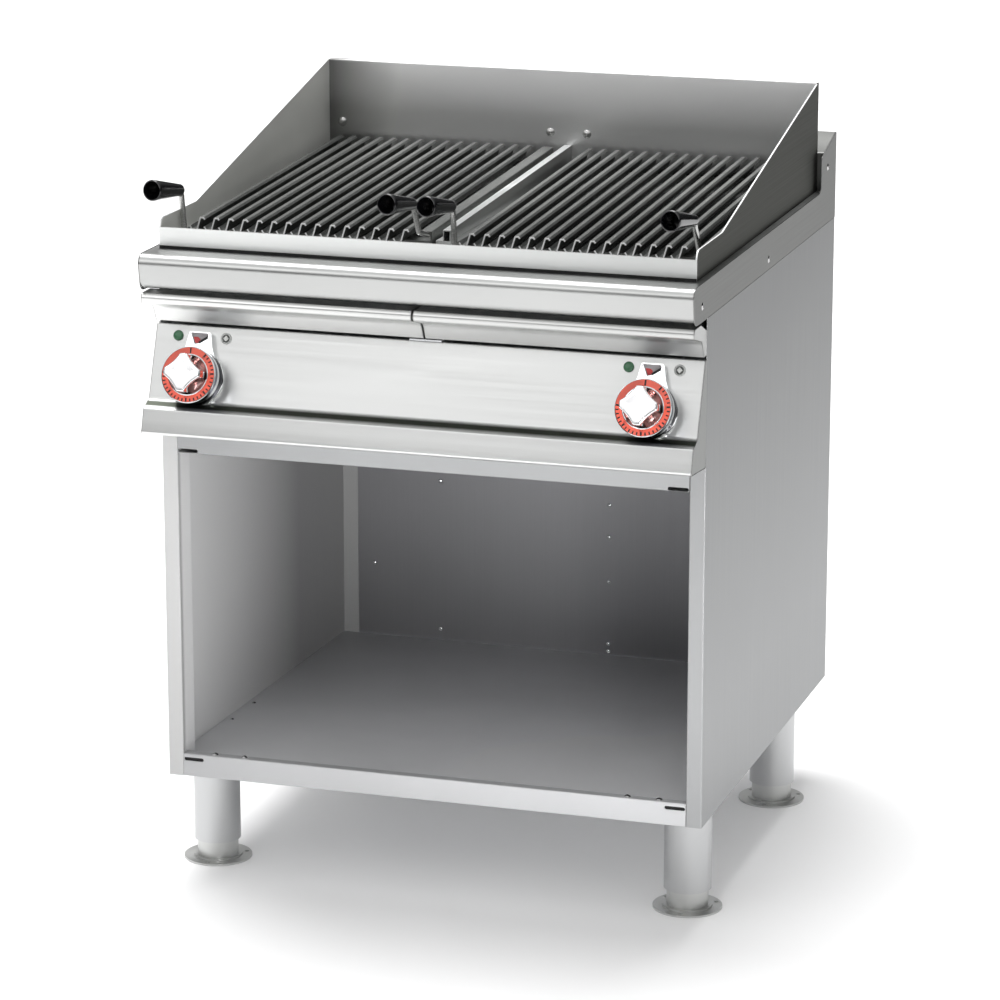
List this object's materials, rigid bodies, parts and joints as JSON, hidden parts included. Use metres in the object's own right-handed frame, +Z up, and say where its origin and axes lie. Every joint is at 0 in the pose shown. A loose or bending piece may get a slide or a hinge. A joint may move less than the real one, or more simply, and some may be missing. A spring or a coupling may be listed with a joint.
{
  "type": "charbroiler grill",
  "caption": "Electric charbroiler grill on an open cabinet: sloping bar grates with lift handles, splash guard, grease drawers, control knobs and adjustable feet.",
  "frame": {"origin": "on the floor, under the middle of the overall box (the middle of the cabinet's width)", "axes": "+X to the right seen from the front, +Y to the back, +Z up; the controls face -Y"},
  "size_m": [0.8191, 0.8788, 1.098],
  "materials": {
    "cabinet_steel": "brushed",
    "front_steel": "satin brushed",
    "hob_steel": "satin brushed",
    "guard_steel": "dull brushed, heat tinted",
    "grate_steel": "oiled, dark, speckled",
    "element_steel": "dark oxide",
    "bright_trim": "polished",
    "leg_steel": "polished brushed",
    "hardware": "plain",
    "zinc_sheet": "galvanised",
    "grip_plastic": "gloss black",
    "dial_red": "satin print",
    "lens_green": "translucent green",
    "lens_clear": "clear, ribbed",
    "black_plastic": "matt black",
    "terminal_plastic": "matt beige"
  },
  "bodies": {
    "cabinet": {"left_side_panel": "cabinet_steel", "right_side_panel": "cabinet_steel", "back_panel": "cabinet_steel", "compartment_floor": "cabinet_steel", "base_shelf": "front_steel", "header_rail": "front_steel", "control_panel": "front_steel", "hob_top": "hob_steel", "rear_upstand": "hob_steel", "well_frame": "hob_steel", "centre_divider": "hob_steel", "splash_guard_left": "guard_steel", "splash_guard_right": "guard_steel", "splash_guard_back": "guard_steel", "element_left": "element_steel", "element_right": "element_steel", "element_supports": "element_steel", "bezel_left": "bright_trim", "bezel_right": "bright_trim", "lamp_collars": "bright_trim", "leg_sleeve_front_left": "leg_steel", "leg_sleeve_front_right": "leg_steel", "leg_sleeve_rear_left": "leg_steel", "leg_sleeve_rear_right": "leg_steel", "panel_screws": "hardware", "back_rivets": "hardware", "leg_bolts": "hardware", "guard_bolts": "hardware", "drawer_runners": "zinc_sheet", "drawer_centre_post": "zinc_sheet", "heat_shield": "zinc_sheet", "green_lamps": "lens_green", "clear_lamps": "lens_clear", "thermostat_left": "black_plastic", "thermostat_right": "black_plastic", "contactors": "black_plastic", "cable_gland": "black_plastic", "terminal_block": "terminal_plastic"},
    "body_knob_left": {"knob_left": "bright_trim", "dial_left": "dial_red", "knob_shaft_left": "hardware"},
    "drawer_left": {"drawer_front_left": "front_steel", "drawer_tray_left": "zinc_sheet"},
    "grate_left": {"grate_bars_left": "grate_steel", "grate_frame_left": "grate_steel", "handle_rods_left": "hardware", "handle_grips_left": "grip_plastic"},
    "body_knob_right": {"knob_right": "bright_trim", "dial_right": "dial_red", "knob_shaft_right": "hardware"},
    "drawer_right": {"drawer_front_right": "front_steel", "drawer_tray_right": "zinc_sheet"},
    "grate_right": {"grate_bars_right": "grate_steel", "grate_frame_right": "grate_steel", "handle_rods_right": "hardware", "handle_grips_right": "grip_plastic"},
    "body_foot_front_left": {"foot_front_left": "leg_steel"},
    "body_foot_front_right": {"foot_front_right": "leg_steel"},
    "body_foot_rear_left": {"foot_rear_left": "leg_steel"},
    "body_foot_rear_right": {"foot_rear_right": "leg_steel"}
  },
  "joints": [
    {"name": "knob_left_turn", "type": "hinge", "parent": "cabinet", "child": "body_knob_left", "pos_m": [-0.3295, -0.36815, 0.75262], "axis": [0, 0.9367, -0.3502], "range_deg": [0, 270]},
    {"name": "knob_right_turn", "type": "hinge", "parent": "cabinet", "child": "body_knob_right", "pos_m": [0.3295, -0.36815, 0.75262], "axis": [0, 0.9367, -0.3502], "range_deg": [0, 270]},
    {"name": "drawer_left_slide", "type": "slide", "parent": "cabinet", "child": "drawer_left", "axis": [0, -1, 0], "range_m": [0, 0.42]},
    {"name": "drawer_right_slide", "type": "slide", "parent": "cabinet", "child": "drawer_right", "axis": [0, -1, 0], "range_m": [0, 0.42]},
    {"name": "grate_left_lift", "type": "slide", "parent": "cabinet", "child": "grate_left", "axis": [0, 0, 1], "range_m": [0, 0.12]},
    {"name": "grate_right_lift", "type": "slide", "parent": "cabinet", "child": "grate_right", "axis": [0, 0, 1], "range_m": [0, 0.12]},
    {"name": "foot_front_left_height", "type": "slide", "parent": "cabinet", "child": "body_foot_front_left", "axis": [0, 0, 1], "range_m": [-0.02, 0.022]},
    {"name": "foot_front_right_height", "type": "slide", "parent": "cabinet", "child": "body_foot_front_right", "axis": [0, 0, 1], "range_m": [-0.02, 0.022]},
    {"name": "foot_rear_left_height", "type": "slide", "parent": "cabinet", "child": "body_foot_rear_left", "axis": [0, 0, 1], "range_m": [-0.02, 0.022]},
    {"name": "foot_rear_right_height", "type": "slide", "parent": "cabinet", "child": "body_foot_rear_right", "axis": [0, 0, 1], "range_m": [-0.02, 0.022]}
  ]
}
